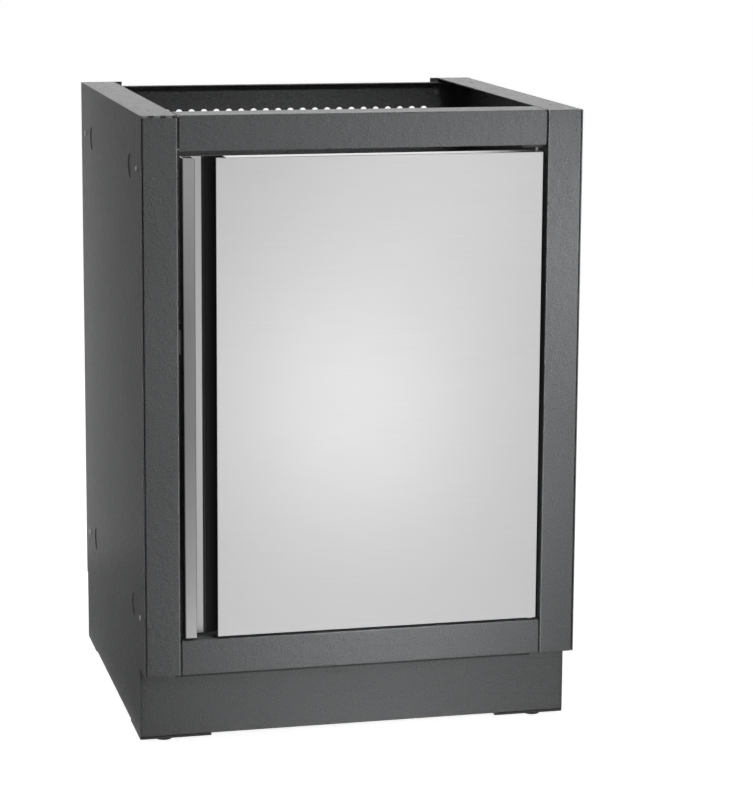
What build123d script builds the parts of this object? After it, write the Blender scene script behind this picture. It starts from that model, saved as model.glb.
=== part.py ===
from build123d import *
import os

os.makedirs("parts", exist_ok=True)

# Overall size and the toe space. The origin is on the floor, under the middle of the cabinet.
# The front faces -Y and the feet stand on z = 0.
overall_width = 610.0
overall_depth = 584.0
overall_height = 876.0
underside_height = 11.0
toe_height = 100.0
toe_recess = 46.0

# Sheet steel of the carcass
sheet = 1.5
bend_radius = 2.2
edge_radius = 1.2
seam = 0.8
overrun = 5.0
chamfer_share = 0.25

# Side panels
top_flange_width = 50.0
rear_flange_width = 62.0
base_flange_width = 25.0
rear_step = 8.0
tab_width = 8.0
tab_reach = 2.6
tab_pitch = 16.3
tab_first = 6.5
tab_count = 3
tab_bend_share = 0.8
worktop_hole_radius = 2.75
worktop_hole_inset = 23.0
worktop_hole_front = 76.0
worktop_hole_back = 100.0
knockout_radius = 16.5
knockout_depth = 1.0
knockout_front = 92.0
knockout_back = 113.0
knockout_drop = 75.0
knockout_rise = 179.0

# Button-head screws near the corners of each side panel
side_screw_front = 34.0
side_screw_back = 50.0
side_screw_drop = 73.0
side_screw_rise = 175.0
side_screw_radius = 2.0
side_screw_hole_radius = 2.2
side_screw_head_radius = 3.8
side_screw_head_height = 1.8
side_nut_across_flats = 7.0
side_nut_height = 3.0

# Front posts and rails
post_width = 49.5
post_depth = 45.0
post_top_gap = 1.8
plain_post_top_gap = 0.4
rail_height = 48.0
rail_end_gap = 2.4
top_rail_depth = 58.0
rail_return = 25.0
rail_bracket_sheet = 2.5
rail_bracket_leg = 30.0
rail_bracket_margin = 2.5
rail_bracket_groove = 3.0
rail_bracket_lap = 1.0

# Base: toe kick, rear base rail, floor and its stiffener
toe_return = 20.0
toe_seam = 1.0
toe_lap = 14.0
floor_flange = 20.0
stiffener_width = 60.0
stiffener_height = 25.0

# Back panel
back_panel_margin = 45.5
back_panel_drop = 6.0
back_panel_lip = 15.0
vent_radius = 5.5
vent_drop = 43.0
vent_pitch = 19.4
vent_margin = 26.0
back_screw_inset = 6.0
back_screw_drop = 17.0
back_screw_rise = 12.0

# Levelling feet
foot_plate_width = 100.0
foot_plate_depth = 90.0
foot_plate_thickness = 3.0
foot_inset = 37.0
foot_setback = 28.0
stud_radius = 4.0
stud_top = 50.0
stud_fit = 0.08
plate_hole_clearance = 0.5
nut_across_flats = 13.0
nut_height = 6.5
pad_radius = 12.0
pad_rim = 3.0
pad_neck_radius = 9.0
pad_clearance = 0.8
pad_floor = 2.5
pad_bore_fit = 0.05

# Door: its gaps to the frame, and its sheets
door_gap_side = 6.5
door_gap_top = 9.0
door_gap_bottom = 4.0
door_depth = 27.0
door_sheet = 1.2
door_bend = 1.8
door_pan_sheet = 1.0
door_strip_width = 8.0
door_strip_sheet = 1.0
door_strip_gap = 0.5

# Finger grip down the free edge of the door
rib_width = 16.5
rib_base_width = 13.0
grip_opening = 28.5
grip_undercut = 14.0
grip_hem = 8.0
insert_floor = 2.0
insert_lip_width = 5.0
insert_lip_height = 1.5
insert_lip_round = 0.7
insert_wall = 1.5

# Pivot hinges
hinge_inset = 7.0
hinge_setback = 9.0
pin_radius = 3.0
pin_fit = 0.06
pin_hole_clearance = 0.1
pin_head_radius = 4.8
pin_head_height = 2.5
pin_reach = 14.0
bush_wall = 1.5
bush_length = 16.0
top_bracket_thickness = 3.0
bottom_bracket_thickness = 2.0
hinge_bracket_width = 30.0
hinge_bracket_edge = 3.0
hinge_bracket_depth = 20.0
washer_radius = 5.5
washer_gap = 0.3
reinforcement_thickness = 3.0
reinforcement_width = 22.0
reinforcement_depth = 16.0

# Magnetic catch and its strike
catch_width = 18.0
catch_depth = 15.0
catch_height = 50.0
catch_screw_edge = 4.0
catch_rise = 380.0
magnet_width = 7.0
magnet_depth = 9.0
magnet_height = 34.0
magnet_proud = 0.4
strike_thickness = 1.2
strike_width = 18.0
strike_overhang = 11.0
strike_edge = 4.0
strike_gap = 0.4

# Fasteners
screw_head_radius = 4.0
screw_head_height = 2.2
screw_radius = 1.9
screw_hole_radius = 2.0
small_head_radius = 2.6
small_head_height = 1.2
small_screw_radius = 1.4
small_hole_radius = 1.5
small_screw_length = 8.0
rivet_head_height = 0.7
countersink_height = 1.2
countersink_clearance = 0.1
recess_length_share = 1.2
recess_width_share = 0.3
recess_depth_share = 0.55

# Places that follow from the sizes above
half_width = overall_width / 2
front = -overall_depth / 2
back = overall_depth / 2
underside = underside_height
top = overall_height
toe_top = underside + toe_height
toe_front = front + toe_recess
base_back = back - rear_step
skin_inside = half_width - sheet
post_inner = half_width - post_width
post_outer = skin_inside - seam
post_back = front + post_depth
post_top = top - sheet - post_top_gap
rail_end = post_inner - rail_end_gap
toe_end = skin_inside - toe_seam
opening_top = top - rail_height
opening_bottom = toe_top + rail_height
floor_underside = toe_top + sheet
back_panel_half = half_width - back_panel_margin
back_panel_top = top - back_panel_drop
back_panel_front = back - sheet - sheet
vent_count = int((back_panel_half - vent_margin) * 2 / vent_pitch) + 1
back_screw_x = back_panel_half - back_screw_inset
back_screw_heights = (
    back_panel_top - back_screw_drop,
    (back_panel_top + toe_top) / 2,
    floor_underside + floor_flange + back_screw_rise,
)
side_screw_heights = (underside + side_screw_rise, top - side_screw_drop)
foot_x = half_width - foot_inset
foot_y_front = toe_front + foot_setback
foot_y_back = base_back - foot_setback

door_right = post_inner - door_gap_side
door_left = -door_right
door_top = opening_top - door_gap_top
door_bottom = opening_bottom + door_gap_bottom
door_back = front + door_depth
pan_front = door_back - door_pan_sheet
rib_right = door_left + rib_width
rib_base_right = rib_right + rib_base_width
face_left = rib_right + grip_opening
returns_left = face_left + grip_undercut
skin_back = front + door_sheet
hinge_x = door_right - hinge_inset
hinge_y = front + hinge_setback
bush_radius = pin_radius + pin_fit + bush_wall
catch_bottom = door_bottom + catch_rise
strike_back = door_back + strike_thickness
catch_front = strike_back + strike_gap + magnet_proud
catch_screw_heights = (catch_bottom + catch_screw_edge, catch_bottom + catch_height - catch_screw_edge)


def block(low, high):
    """A box between two opposite corners."""
    with BuildPart() as piece:
        with Locations(tuple((a + b) / 2 for a, b in zip(low, high))):
            Box(*[b - a for a, b in zip(low, high)])
    return piece.part


def bent_sheet(plane, outline, thickness, radius, length):
    """Sheet folded along an outline that is its outer face, with the metal on the outline's left."""
    with BuildPart() as piece:
        with BuildSketch(plane):
            with BuildLine():
                FilletPolyline(*outline, radius=radius)
                offset(amount=thickness, side=Side.LEFT)
            make_face()
        extrude(amount=length)
    return piece.part


def cross_recess(seat, head_radius, head_height):
    """The form of the cross that a screwdriver turns, to be cut from a head, down from the seat."""
    with BuildPart() as piece:
        with BuildSketch(seat):
            Rectangle(head_radius * recess_length_share, head_radius * recess_width_share)
            Rectangle(head_radius * recess_width_share, head_radius * recess_length_share)
        extrude(amount=-head_height * recess_depth_share)
    return piece.part


def pan_screw(seat, head_radius, head_height, shank_radius, shank_length, recessed=True):
    """A round-headed screw or rivet, its head standing on the seat and its shank behind it."""
    with BuildPart() as piece:
        with BuildSketch(seat):
            Circle(head_radius)
        extrude(amount=head_height)
        rim = piece.edges().filter_by(GeomType.CIRCLE).sort_by(lambda e: seat.to_local_coords(e.center()).Z)
        fillet(rim[-1], radius=head_height / 2)
        with BuildSketch(seat):
            Circle(shank_radius)
        extrude(amount=-shank_length)
        if recessed:
            add(cross_recess(seat.offset(head_height), head_radius, head_height), mode=Mode.SUBTRACT)
    return piece.part


def countersunk_screw(seat, head_radius, head_height, shank_radius, shank_length, recessed=True):
    """A countersunk screw whose flat head is flush with the seat."""
    with BuildPart() as piece:
        with BuildSketch(seat.offset(-head_height)):
            Circle(shank_radius)
        with BuildSketch(seat):
            Circle(head_radius)
        loft()
        with BuildSketch(seat.offset(-head_height)):
            Circle(shank_radius)
        extrude(amount=head_height - shank_length)
        if recessed:
            add(cross_recess(seat, head_radius, head_height), mode=Mode.SUBTRACT)
    return piece.part


# Side panel: one skin with a top flange for the worktop, a rear flange for the back panel and a
# base flange for the foot plates. The skin is cut back at the toe space and steps in behind it.
with BuildPart() as side_panel_left:
    with BuildSketch(Plane.YZ.offset(-half_width)):
        with BuildLine():
            Polyline(
                (toe_front, underside),
                (toe_front, toe_top),
                (front, toe_top),
                (front, top),
                (back, top),
                (back, toe_top),
                (base_back, toe_top),
                (base_back, underside),
                close=True,
            )
        make_face()
    extrude(amount=sheet)
    add(block((-half_width, front, top - sheet), (top_flange_width - half_width, back, top)))
    add(block((-half_width, back - sheet, toe_top), (rear_flange_width - half_width, back, top)))
    add(
        block(
            (-half_width, toe_front + toe_return + sheet, underside),
            (base_flange_width - half_width, base_back - toe_return - sheet, underside + sheet),
        )
    )
    # A flange behind the toe kick's end, which closes the seam there
    add(
        block(
            (-half_width, toe_front + sheet, underside + sheet + bend_radius),
            (toe_lap - half_width, toe_front + sheet * 2, toe_top - sheet - bend_radius),
        )
    )
    # The top flange stops short of the post's face, but for three tabs
    with BuildSketch(Plane.XY.offset(top)):
        with Locations((top_flange_width / 2 - half_width + edge_radius, front + tab_reach / 2)):
            Rectangle(top_flange_width + edge_radius, tab_reach)
        tab_places = [tab_first + i * tab_pitch - half_width for i in range(tab_count)]
        with Locations([(x, front + tab_reach / 2) for x in tab_places]):
            Rectangle(tab_width, tab_reach, mode=Mode.SUBTRACT)
        with Locations((sheet / 2 - half_width, front + tab_reach / 2)):
            Rectangle(sheet, tab_reach, mode=Mode.SUBTRACT)
    extrude(amount=-sheet, mode=Mode.SUBTRACT)
    # The tabs bend down over the post's top edge and rest on it
    for x in tab_places:
        add(block((x - tab_width / 2, front, post_top), (x + tab_width / 2, front + sheet, top)))
    tab_rims = side_panel_left.edges().filter_by(Axis.X).filter_by_position(Axis.Z, top, top)
    tab_rims = tab_rims.filter_by_position(Axis.Y, front, front)
    tab_rims = tab_rims.filter_by(lambda edge: edge.length > sheet * 2)
    fillet(tab_rims, radius=min(tab_reach, top - post_top) * tab_bend_share)
    outer_top = side_panel_left.edges().filter_by(Axis.Y).group_by(Axis.Z)[-1].sort_by(Axis.X)[0]
    outer_rear = side_panel_left.edges().filter_by(Axis.Z).group_by(Axis.Y)[-1].sort_by(Axis.X)[0]
    fillet([outer_top, outer_rear], radius=edge_radius)
    # Holes for fixing a worktop
    with BuildSketch(Plane.XY.offset(top)):
        with Locations(
            (worktop_hole_inset - half_width, front + worktop_hole_front),
            (worktop_hole_inset - half_width, back - worktop_hole_back),
        ):
            Circle(worktop_hole_radius)
    extrude(amount=-sheet, mode=Mode.SUBTRACT)
    # Holes for the screws near the corners
    with BuildSketch(Plane.YZ.offset(-half_width)):
        for height in side_screw_heights:
            with Locations((front + side_screw_front, height), (back - side_screw_back, height)):
                Circle(side_screw_hole_radius)
    extrude(amount=sheet, mode=Mode.SUBTRACT)
    # Round knock-outs for hoses: half sheared, so that each stands in by most of the sheet
    knockouts = [
        (front + knockout_front, top - knockout_drop),
        (back - knockout_back, top - knockout_drop),
        (front + knockout_front, underside + knockout_rise),
        (back - knockout_back, underside + knockout_rise),
    ]
    with BuildSketch(Plane.YZ.offset(-half_width)):
        with Locations(knockouts):
            Circle(knockout_radius)
    extrude(amount=knockout_depth, mode=Mode.SUBTRACT)
    with BuildSketch(Plane.YZ.offset(-skin_inside)):
        with Locations(knockouts):
            Circle(knockout_radius)
    extrude(amount=knockout_depth)
    # Holes for the back panel's screws
    with BuildSketch(Plane.XZ.offset(-back)):
        with Locations([(-back_screw_x, height) for height in back_screw_heights]):
            Circle(screw_hole_radius)
    extrude(amount=sheet, mode=Mode.SUBTRACT)
side_panel_left.part.label = "side_panel_left"
export_step(side_panel_left.part, "parts/side_panel_left.step")

# The right panel's flange has no tabs, so it runs on over the post
with BuildPart() as side_panel_right:
    mirror(side_panel_left.part, about=Plane.YZ)
    tab_strip = (half_width - top_flange_width, front, post_top), (skin_inside, front + tab_reach, top)
    add(block(*tab_strip), mode=Mode.SUBTRACT)
    add(block((half_width - top_flange_width, front, top - sheet), (skin_inside, front + tab_reach, top)))
side_panel_right.part.label = "side_panel_right"
export_step(side_panel_right.part, "parts/side_panel_right.step")

# Front posts: channels folded from sheet, a hair's breadth inside the side skins
with BuildPart() as front_post_left:
    add(
        bent_sheet(
            Plane.XY.offset(toe_top),
            [(-post_outer, post_back), (-post_outer, front), (-post_inner, front), (-post_inner, post_back)],
            sheet,
            bend_radius,
            post_top - toe_top,
        )
    )
    with BuildSketch(Plane.YZ.offset(-post_inner)):
        with Locations([(catch_front + catch_depth / 2, height) for height in catch_screw_heights]):
            Circle(small_hole_radius)
    extrude(amount=-sheet, mode=Mode.SUBTRACT)
    with BuildSketch(Plane.YZ.offset(-post_outer)):
        with Locations([(front + side_screw_front, height) for height in side_screw_heights]):
            Circle(side_screw_hole_radius)
    extrude(amount=sheet, mode=Mode.SUBTRACT)
front_post_left.part.label = "front_post_left"
export_step(front_post_left.part, "parts/front_post_left.step")

with BuildPart() as front_post_right:
    add(
        bent_sheet(
            Plane.XY.offset(toe_top),
            [(post_inner, post_back), (post_inner, front), (post_outer, front), (post_outer, post_back)],
            sheet,
            bend_radius,
            top - sheet - plain_post_top_gap - toe_top,
        )
    )
    with BuildSketch(Plane.YZ.offset(post_outer)):
        with Locations([(front + side_screw_front, height) for height in side_screw_heights]):
            Circle(side_screw_hole_radius)
    extrude(amount=-sheet, mode=Mode.SUBTRACT)
front_post_right.part.label = "front_post_right"
export_step(front_post_right.part, "parts/front_post_right.step")

# Side screws: the front pair on each side clamps the side panel to the post, and the rear pair fills
# the holes for a wall bracket. Their nuts are welded on behind.
with BuildPart() as side_screws:
    for height in side_screw_heights:
        for y, stack in (
            (front + side_screw_front, half_width - post_outer + sheet),
            (back - side_screw_back, sheet),
        ):
            seat = Plane((-half_width, y, height), x_dir=(0, 1, 0), z_dir=(-1, 0, 0))
            length = stack + side_nut_height
            add(pan_screw(seat, side_screw_head_radius, side_screw_head_height, side_screw_radius, length))
    mirror(about=Plane.YZ)
side_screws.part.label = "side_screws"
export_step(side_screws.part, "parts/side_screws.step")

with BuildPart() as side_screw_nuts:
    for y, seat_x in ((front + side_screw_front, sheet - post_outer), (back - side_screw_back, -skin_inside)):
        with BuildSketch(Plane.YZ.offset(seat_x)):
            with Locations([(y, height) for height in side_screw_heights]):
                RegularPolygon(side_nut_across_flats / 2, 6, major_radius=False)
                Circle(side_screw_radius + stud_fit, mode=Mode.SUBTRACT)
        extrude(amount=side_nut_height)
    mirror(about=Plane.YZ)
side_screw_nuts.part.label = "side_screw_nuts"
export_step(side_screw_nuts.part, "parts/side_screw_nuts.step")

# Hinge bracket screws stand on a line each side of the hinge pin
bracket_left = hinge_x + pin_head_radius + small_head_radius - hinge_bracket_width
bracket_right = bracket_left + hinge_bracket_width
bracket_screw_x = [
    bracket_left + hinge_bracket_edge + small_head_radius / 2,
    bracket_left + hinge_bracket_width / 2 - small_head_radius / 2,
]
bracket_front = front + hinge_bracket_edge
bracket_back = bracket_front + hinge_bracket_depth

# Top front rail: its upper flange carries the worktop, its lower return holds the door's top pivot
with BuildPart() as top_front_rail:
    add(
        bent_sheet(
            Plane.YZ.offset(-rail_end),
            [
                (front + top_rail_depth, top),
                (front, top),
                (front, opening_top),
                (front + rail_return, opening_top),
            ],
            sheet,
            bend_radius,
            rail_end * 2,
        )
    )
    with BuildSketch(Plane.XY.offset(opening_top)):
        with Locations((hinge_x, hinge_y)):
            Circle(pin_radius + pin_hole_clearance)
        with Locations([(x, hinge_y) for x in bracket_screw_x]):
            Circle(small_hole_radius)
    extrude(amount=sheet, mode=Mode.SUBTRACT)
top_front_rail.part.label = "top_front_rail"
export_step(top_front_rail.part, "parts/top_front_rail.step")

# Bottom front rail: its lower flange closes the toe space from above and carries the floor
with BuildPart() as bottom_front_rail:
    add(
        bent_sheet(
            Plane.YZ.offset(-rail_end),
            [
                (front + rail_return, opening_bottom),
                (front, opening_bottom),
                (front, toe_top),
                (toe_front + toe_return, toe_top),
            ],
            sheet,
            bend_radius,
            rail_end * 2,
        )
    )
    with BuildSketch(Plane.XY.offset(opening_bottom)):
        with Locations((hinge_x, hinge_y)):
            Circle(pin_radius + pin_hole_clearance)
        with Locations([(x, hinge_y) for x in bracket_screw_x]):
            Circle(small_hole_radius)
    extrude(amount=-sheet, mode=Mode.SUBTRACT)
bottom_front_rail.part.label = "bottom_front_rail"
export_step(bottom_front_rail.part, "parts/bottom_front_rail.step")

# Angle brackets behind the rail ends, spot-welded to rail and post. They close the seam between them.
for name, low, high in (
    ("top_rail_brackets", opening_top + sheet, top - sheet),
    ("bottom_rail_brackets", toe_top + sheet, opening_bottom - sheet),
):
    with BuildPart() as rail_brackets:
        rail_rear = front + sheet
        add(
            block(
                (rail_end - rail_bracket_leg, rail_rear, low + rail_bracket_margin),
                (rail_end, rail_rear + rail_bracket_sheet, high - rail_bracket_margin),
            )
        )
        add(
            block(
                (rail_end - rail_bracket_lap, front + rail_bracket_groove, low + rail_bracket_margin),
                (post_inner, front + rail_bracket_leg, high - rail_bracket_margin),
            )
        )
        mirror(about=Plane.YZ)
    rail_brackets.part.label = name
    export_step(rail_brackets.part, f"parts/{name}.step")

# Toe kick: the plinth's face, set back under the front, with a return at its top and bottom
with BuildPart() as toe_kick:
    add(
        bent_sheet(
            Plane.YZ.offset(-toe_end),
            [
                (toe_front + toe_return, toe_top),
                (toe_front, toe_top),
                (toe_front, underside),
                (toe_front + toe_return, underside),
            ],
            sheet,
            bend_radius,
            toe_end * 2,
        )
    )
toe_kick.part.label = "toe_kick"
export_step(toe_kick.part, "parts/toe_kick.step")

# Rear base rail: ties the side panels together behind the rear feet and carries the floor's back edge
with BuildPart() as rear_base_rail:
    add(
        bent_sheet(
            Plane.YZ.offset(-skin_inside),
            [
                (base_back - toe_return, underside),
                (base_back, underside),
                (base_back, floor_underside),
                (base_back - toe_return, floor_underside),
            ],
            sheet,
            bend_radius,
            skin_inside * 2,
        )
    )
rear_base_rail.part.label = "rear_base_rail"
export_step(rear_base_rail.part, "parts/rear_base_rail.step")

# Floor: a tray with its flanges turned up against the side skins and the back panel
with BuildPart() as floor_panel:
    add(
        block(
            (-skin_inside, post_back + seam, floor_underside),
            (skin_inside, back_panel_front, floor_underside + floor_flange),
        )
    )
    add(
        block(
            (sheet - skin_inside, post_back - overrun, floor_underside + sheet),
            (skin_inside - sheet, back_panel_front - sheet, floor_underside + floor_flange + overrun),
        ),
        mode=Mode.SUBTRACT,
    )
floor_panel.part.label = "floor_panel"
export_step(floor_panel.part, "parts/floor_panel.step")

# Floor stiffener: a channel across the cabinet under the middle of the floor
with BuildPart() as floor_stiffener:
    add(
        bent_sheet(
            Plane.YZ.offset(-skin_inside),
            [
                (stiffener_width / 2, floor_underside - stiffener_height),
                (stiffener_width / 2, floor_underside),
                (-stiffener_width / 2, floor_underside),
                (-stiffener_width / 2, floor_underside - stiffener_height),
            ],
            sheet,
            bend_radius,
            skin_inside * 2,
        )
    )
floor_stiffener.part.label = "floor_stiffener"
export_step(floor_stiffener.part, "parts/floor_stiffener.step")

# Back panel: screwed to the front of the rear flanges, with a lip at its top and one row of vents
with BuildPart() as back_panel:
    add(
        bent_sheet(
            Plane.YZ.offset(-back_panel_half),
            [
                (back_panel_front + sheet, toe_top),
                (back_panel_front + sheet, back_panel_top),
                (back_panel_front + sheet - back_panel_lip, back_panel_top),
            ],
            sheet,
            bend_radius,
            back_panel_half * 2,
        )
    )
    with BuildSketch(Plane.XZ.offset(-back)):
        with Locations((0, back_panel_top - vent_drop)):
            with GridLocations(vent_pitch, 0, vent_count, 1):
                Circle(vent_radius)
        back_screw_places = [(side * back_screw_x, z) for side in (-1, 1) for z in back_screw_heights]
        with Locations(back_screw_places):
            Circle(screw_hole_radius)
    extrude(amount=back - back_panel_front, mode=Mode.SUBTRACT)
back_panel.part.label = "back_panel"
export_step(back_panel.part, "parts/back_panel.step")

with BuildPart() as back_panel_screws:
    for side in (-1, 1):
        for height in back_screw_heights:
            seat = Plane((side * back_screw_x, back_panel_front, height), x_dir=(1, 0, 0), z_dir=(0, -1, 0))
            add(pan_screw(seat, screw_head_radius, screw_head_height, screw_radius, back - back_panel_front))
back_panel_screws.part.label = "back_panel_screws"
export_step(back_panel_screws.part, "parts/back_panel_screws.step")

# Levelling feet, one in each corner: a plate under the base flange, and a pad on a threaded stud
corners = {
    "front_left": (-1, foot_y_front, toe_front, toe_front + foot_plate_depth),
    "front_right": (1, foot_y_front, toe_front, toe_front + foot_plate_depth),
    "rear_left": (-1, foot_y_back, base_back - foot_plate_depth, base_back),
    "rear_right": (1, foot_y_back, base_back - foot_plate_depth, base_back),
}
for corner, (side, foot_y, plate_front, plate_back) in corners.items():
    with BuildPart() as foot_plate:
        with BuildSketch(Plane.XY.offset(underside)):
            with Locations((side * (half_width - foot_plate_width / 2), (plate_front + plate_back) / 2)):
                Rectangle(foot_plate_width, foot_plate_depth)
            with Locations((side * foot_x, foot_y)):
                Circle(stud_radius + plate_hole_clearance, mode=Mode.SUBTRACT)
        extrude(amount=-foot_plate_thickness)
        fillet(foot_plate.edges().filter_by(Axis.Z), radius=edge_radius)
    foot_plate.part.label = f"foot_plate_{corner}"
    export_step(foot_plate.part, f"parts/foot_plate_{corner}.step")

    with BuildPart() as foot_stud:
        with BuildSketch(Plane.XY.offset(pad_floor)):
            with Locations((side * foot_x, foot_y)):
                Circle(stud_radius)
        extrude(amount=stud_top - pad_floor)
        chamfer(foot_stud.faces().sort_by(Axis.Z)[-1].edges(), length=stud_radius * chamfer_share)
    foot_stud.part.label = f"foot_stud_{corner}"
    export_step(foot_stud.part, f"parts/foot_stud_{corner}.step")

    pad_top = underside - foot_plate_thickness - pad_clearance
    with BuildPart() as foot_pad:
        with BuildSketch(Plane.XZ):
            with BuildLine():
                Polyline(
                    (0, 0),
                    (pad_radius, 0),
                    (pad_radius, pad_rim),
                    (pad_neck_radius, pad_top),
                    (stud_radius + pad_bore_fit, pad_top),
                    (stud_radius + pad_bore_fit, pad_floor),
                    (0, pad_floor),
                    close=True,
                )
            make_face()
        revolve(axis=Axis.Z)
        pad_foot_rim = foot_pad.edges().filter_by(GeomType.CIRCLE).group_by(Axis.Z)[0]
        fillet(pad_foot_rim, radius=pad_rim * chamfer_share)
    foot_pad.part.label = f"foot_pad_{corner}"
    foot_pad.part.locate(Location((side * foot_x, foot_y, 0)))
    export_step(foot_pad.part, f"parts/foot_pad_{corner}.step")

with BuildPart() as foot_nuts:
    with BuildSketch(Plane.XY.offset(underside)):
        with Locations([(side * foot_x, foot_y) for side, foot_y, _, _ in corners.values()]):
            RegularPolygon(nut_across_flats / 2, 6, major_radius=False)
            Circle(stud_radius + stud_fit, mode=Mode.SUBTRACT)
    extrude(amount=nut_height)
foot_nuts.part.label = "foot_nuts"
export_step(foot_nuts.part, "parts/foot_nuts.step")

# Hinge brackets: plates screwed to the rails' returns. Each holds one pivot pin of the door.
bracket_x = (bracket_left + bracket_right) / 2
bracket_y = (bracket_front + bracket_back) / 2
top_bracket_underside = opening_top - top_bracket_thickness
with BuildPart() as top_hinge_bracket:
    with BuildSketch(Plane.XY.offset(top_bracket_underside)):
        with Locations((bracket_x, bracket_y)):
            Rectangle(hinge_bracket_width, hinge_bracket_depth)
        with Locations((hinge_x, hinge_y)):
            Circle(pin_radius + pin_fit, mode=Mode.SUBTRACT)
        with Locations([(x, hinge_y) for x in bracket_screw_x]):
            Circle(small_hole_radius, mode=Mode.SUBTRACT)
    extrude(amount=top_bracket_thickness)
    for x in bracket_screw_x:
        seat = Plane((x, hinge_y, top_bracket_underside), x_dir=(1, 0, 0), z_dir=(0, 0, -1))
        add(
            countersunk_screw(
                seat,
                small_head_radius + countersink_clearance,
                countersink_height,
                small_hole_radius,
                top_bracket_thickness,
                recessed=False,
            ),
            mode=Mode.SUBTRACT,
        )
    fillet(top_hinge_bracket.edges().filter_by(Axis.Z), radius=edge_radius)
top_hinge_bracket.part.label = "top_hinge_bracket"
export_step(top_hinge_bracket.part, "parts/top_hinge_bracket.step")

bottom_bracket_top = opening_bottom + bottom_bracket_thickness
with BuildPart() as bottom_hinge_bracket:
    with BuildSketch(Plane.XY.offset(opening_bottom)):
        with Locations((bracket_x, bracket_y)):
            Rectangle(hinge_bracket_width, hinge_bracket_depth)
        with Locations((hinge_x, hinge_y)):
            Circle(pin_radius + pin_fit, mode=Mode.SUBTRACT)
        with Locations([(x, hinge_y) for x in bracket_screw_x]):
            Circle(small_hole_radius, mode=Mode.SUBTRACT)
    extrude(amount=bottom_bracket_thickness)
    for x in bracket_screw_x:
        seat = Plane((x, hinge_y, bottom_bracket_top), x_dir=(1, 0, 0), z_dir=(0, 0, 1))
        add(
            countersunk_screw(
                seat,
                small_head_radius + countersink_clearance,
                countersink_height,
                small_hole_radius,
                bottom_bracket_thickness,
                recessed=False,
            ),
            mode=Mode.SUBTRACT,
        )
    fillet(bottom_hinge_bracket.edges().filter_by(Axis.Z), radius=edge_radius)
bottom_hinge_bracket.part.label = "bottom_hinge_bracket"
export_step(bottom_hinge_bracket.part, "parts/bottom_hinge_bracket.step")

with BuildPart() as hinge_screws:
    for x in bracket_screw_x:
        for height, facing in ((top_bracket_underside, -1), (bottom_bracket_top, 1)):
            seat = Plane((x, hinge_y, height), x_dir=(1, 0, 0), z_dir=(0, 0, facing))
            add(
                countersunk_screw(
                    seat, small_head_radius, countersink_height, small_screw_radius, small_screw_length
                )
            )
hinge_screws.part.label = "hinge_screws"
export_step(hinge_screws.part, "parts/hinge_screws.step")

# Pivot pins: headed pins through return and bracket, reaching into bushes in the door
with BuildPart() as top_hinge_pin:
    with BuildSketch(Plane.XY.offset(opening_top + sheet)):
        with Locations((hinge_x, hinge_y)):
            Circle(pin_head_radius)
    extrude(amount=pin_head_height)
    with BuildSketch(Plane.XY.offset(door_top - pin_reach)):
        with Locations((hinge_x, hinge_y)):
            Circle(pin_radius)
    extrude(amount=opening_top + sheet - door_top + pin_reach)
    chamfer(top_hinge_pin.faces().sort_by(Axis.Z)[0].edges(), length=pin_radius * chamfer_share)
top_hinge_pin.part.label = "top_hinge_pin"
export_step(top_hinge_pin.part, "parts/top_hinge_pin.step")

with BuildPart() as bottom_hinge_pin:
    with BuildSketch(Plane.XY.offset(opening_bottom - sheet)):
        with Locations((hinge_x, hinge_y)):
            Circle(pin_head_radius)
    extrude(amount=-pin_head_height)
    with BuildSketch(Plane.XY.offset(opening_bottom - sheet)):
        with Locations((hinge_x, hinge_y)):
            Circle(pin_radius)
    extrude(amount=sheet + door_gap_bottom + pin_reach)
    chamfer(bottom_hinge_pin.faces().sort_by(Axis.Z)[-1].edges(), length=pin_radius * chamfer_share)
bottom_hinge_pin.part.label = "bottom_hinge_pin"
export_step(bottom_hinge_pin.part, "parts/bottom_hinge_pin.step")

# Washer that carries the door on the bottom bracket
with BuildPart() as hinge_washer:
    with BuildSketch(Plane.XY.offset(bottom_bracket_top)):
        with Locations((hinge_x, hinge_y)):
            Circle(washer_radius)
            Circle(pin_radius + pin_fit, mode=Mode.SUBTRACT)
    extrude(amount=door_bottom - washer_gap - bottom_bracket_top)
hinge_washer.part.label = "hinge_washer"
export_step(hinge_washer.part, "parts/hinge_washer.step")

# Magnetic catch: a housing screwed to the left post's inner return, with a magnet in its front
catch_left = -post_inner
catch_right = catch_left + catch_width
catch_middle = (catch_left + catch_right) / 2
catch_centre = catch_bottom + catch_height / 2
with BuildPart() as catch_housing:
    add(
        block(
            (catch_left, catch_front, catch_bottom),
            (catch_right, catch_front + catch_depth, catch_bottom + catch_height),
        )
    )
    add(
        block(
            (catch_middle - magnet_width / 2, catch_front - overrun, catch_centre - magnet_height / 2),
            (catch_middle + magnet_width / 2, catch_front + magnet_depth, catch_centre + magnet_height / 2),
        ),
        mode=Mode.SUBTRACT,
    )
    with BuildSketch(Plane.YZ.offset(catch_left)):
        with Locations([(catch_front + catch_depth / 2, height) for height in catch_screw_heights]):
            Circle(small_hole_radius)
    extrude(amount=catch_width, mode=Mode.SUBTRACT)
    fillet(catch_housing.edges().filter_by(Axis.X).group_by(Axis.Y)[-1], radius=edge_radius)
catch_housing.part.label = "catch_housing"
export_step(catch_housing.part, "parts/catch_housing.step")

with BuildPart() as catch_magnet:
    add(
        block(
            (catch_middle - magnet_width / 2, catch_front - magnet_proud, catch_centre - magnet_height / 2),
            (catch_middle + magnet_width / 2, catch_front + magnet_depth, catch_centre + magnet_height / 2),
        )
    )
catch_magnet.part.label = "catch_magnet"
export_step(catch_magnet.part, "parts/catch_magnet.step")

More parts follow.
